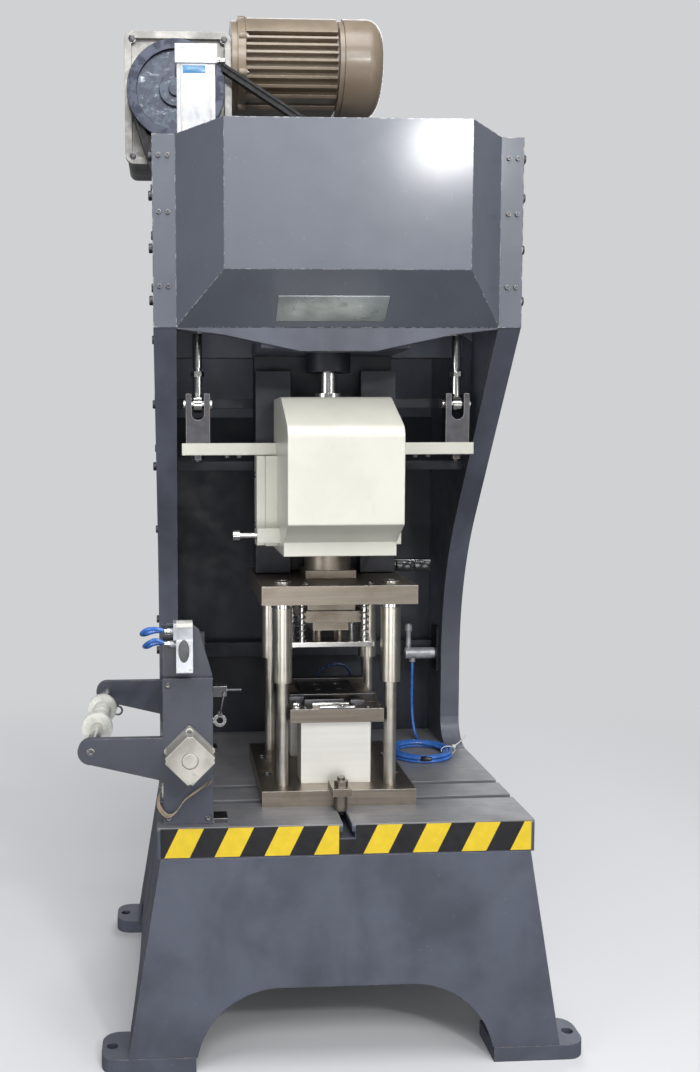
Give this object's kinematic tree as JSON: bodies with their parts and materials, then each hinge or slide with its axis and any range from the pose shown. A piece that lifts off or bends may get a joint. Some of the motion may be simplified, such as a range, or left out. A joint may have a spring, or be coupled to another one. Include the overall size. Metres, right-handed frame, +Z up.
{
  "type": "mechanical stamping press",
  "caption": "C-frame crank press: two steel side plates, sheet hood, cream ram, sprung pillar die set, balance cylinders, roll feeder, belt-driven flywheel and gear motor.",
  "frame": {"origin": "floor level, straight under the ram axis", "axes": "+Z up, the machine's front faces -Y, +X to the right seen from the front"},
  "size_m": [0.794, 0.85, 1.833],
  "materials": {
    "frame_paint": "satin hammered enamel",
    "inner_paint": "matt enamel",
    "hood_paint": "satin enamel",
    "cream_paint": "satin enamel",
    "motor_paint": "satin enamel",
    "ground_steel": "ground",
    "bright_steel": "polished",
    "dark_steel": "blackened",
    "aluminium": "machined",
    "cast_aluminium": "as cast",
    "cast_iron": "machined",
    "bronze": "bored",
    "belt_rubber": "matt",
    "white_plastic": "moulded",
    "blue_tube": "glossy"
  },
  "bodies": {
    "frame": {"side_plate_left": "frame_paint", "side_plate_right": "frame_paint", "bed_plate": "ground_steel", "base_front": "frame_paint", "base_sides": "frame_paint", "base_back": "frame_paint", "foot_pads": "frame_paint", "head_plates": "frame_paint", "slide_wall": "inner_paint", "guide_rails": "ground_steel", "cross_ties": "inner_paint", "back_wall": "inner_paint", "main_bearings": "bronze", "rod_bush": "inner_paint", "hood": "hood_paint", "hood_screws": "dark_steel", "rear_guard": "frame_paint", "drive_bracket": "frame_paint", "gearbox_case": "cast_aluminium", "motor_frame": "motor_paint", "fan_cowl": "motor_paint", "drive_belt": "belt_rubber", "balance_shelves": "frame_paint", "balance_cylinders": "aluminium", "lower_shoe": "ground_steel", "guide_posts": "bright_steel", "die_risers": "aluminium", "die_plate": "ground_steel", "strip_rails": "ground_steel", "front_clamp": "dark_steel", "feeder_plates": "frame_paint", "feeder_ties": "bright_steel", "valve_plate": "frame_paint", "solenoid_valve": "aluminium", "stepper_motor": "aluminium", "guide_bar": "bright_steel", "air_valve": "aluminium", "air_hose": "blue_tube", "hose_coil": "blue_tube"},
    "crank": {"crankshaft": "bright_steel"},
    "block": {"slide_block": "bronze"},
    "wheel": {"flywheel": "cast_iron"},
    "drive_pulley": {"pulley": "cast_iron"},
    "rotor": {"motor_rotor": "bright_steel"},
    "ram": {"ram_block": "cream_paint", "ram_bar": "cream_paint", "rod_forks": "dark_steel", "fork_pins": "bright_steel", "balance_rods": "bright_steel", "ram_yoke": "bright_steel", "die_shank": "ground_steel", "upper_shoe": "ground_steel", "guide_bushes": "bright_steel", "punch_holder": "ground_steel"},
    "stripper": {"stripper_plate": "bright_steel"},
    "screw": {"clamp_screw": "bright_steel"},
    "feed": {"feed_roll": "bright_steel"},
    "pinch": {"pinch_roll": "bright_steel"},
    "spool": {"guide_spool": "white_plastic"},
    "lever": {"release_lever": "bright_steel"}
  },
  "joints": [
    {"name": "crank_turn", "type": "hinge", "parent": "frame", "child": "crank", "pos_m": [0, 0.2, 1.336], "axis": [0, 1, 0], "range_deg": [0, 180]},
    {"name": "block_swivel", "type": "hinge", "parent": "crank", "child": "block", "pos_m": [0, 0, 1.373], "axis": [0, 1, 0], "range_deg": [-180, 0]},
    {"name": "ram_slide", "type": "slide", "parent": "frame", "child": "ram", "axis": [0, 0, -1], "range_m": [0, 0.074]},
    {"name": "flywheel_spin", "type": "hinge", "parent": "frame", "child": "wheel", "pos_m": [0, 0.369, 1.336], "axis": [0, 1, 0], "continuous": true},
    {"name": "pulley_spin", "type": "hinge", "parent": "frame", "child": "drive_pulley", "pos_m": [-0.249, 0.369, 1.659], "axis": [0, 1, 0], "continuous": true},
    {"name": "motor_spin", "type": "hinge", "parent": "frame", "child": "rotor", "pos_m": [0, 0.466, 1.737], "axis": [1, 0, 0], "continuous": true},
    {"name": "stripper_slide", "type": "slide", "parent": "ram", "child": "stripper", "axis": [0, 0, 1], "range_m": [0, 0.009], "stiffness_N_per_m": 6000, "springref_m": -0.004},
    {"name": "clamp_screw_turn", "type": "hinge", "parent": "ram", "child": "screw", "pos_m": [-0.14, -0.07, 0.818], "axis": [1, 0, 0], "range_deg": [-180, 180]},
    {"name": "feed_roll_spin", "type": "hinge", "parent": "frame", "child": "feed", "pos_m": [-0.24, 0, 0.503], "axis": [0, 1, 0], "continuous": true},
    {"name": "pinch_roll_spin", "type": "hinge", "parent": "frame", "child": "pinch", "pos_m": [-0.24, 0, 0.5556], "axis": [0, 1, 0], "continuous": true},
    {"name": "guide_spool_spin", "type": "hinge", "parent": "frame", "child": "spool", "pos_m": [-0.389, 0, 0.503], "axis": [0, 1, 0], "continuous": true},
    {"name": "release_lever_turn", "type": "hinge", "parent": "frame", "child": "lever", "pos_m": [-0.216, -0.191, 0.545], "axis": [0, 1, 0], "range_deg": [-45, 30]}
  ],
  "couplings": [
    {"joint": "crank_turn", "follows": "ram_slide", "rad_per_m": 42.45},
    {"joint": "block_swivel", "follows": "ram_slide", "rad_per_m": -42.45},
    {"joint": "pulley_spin", "follows": "flywheel_spin", "ratio": 2.4688},
    {"joint": "motor_spin", "follows": "flywheel_spin", "ratio": 18.516},
    {"joint": "pinch_roll_spin", "follows": "feed_roll_spin", "ratio": -1.6}
  ]
}
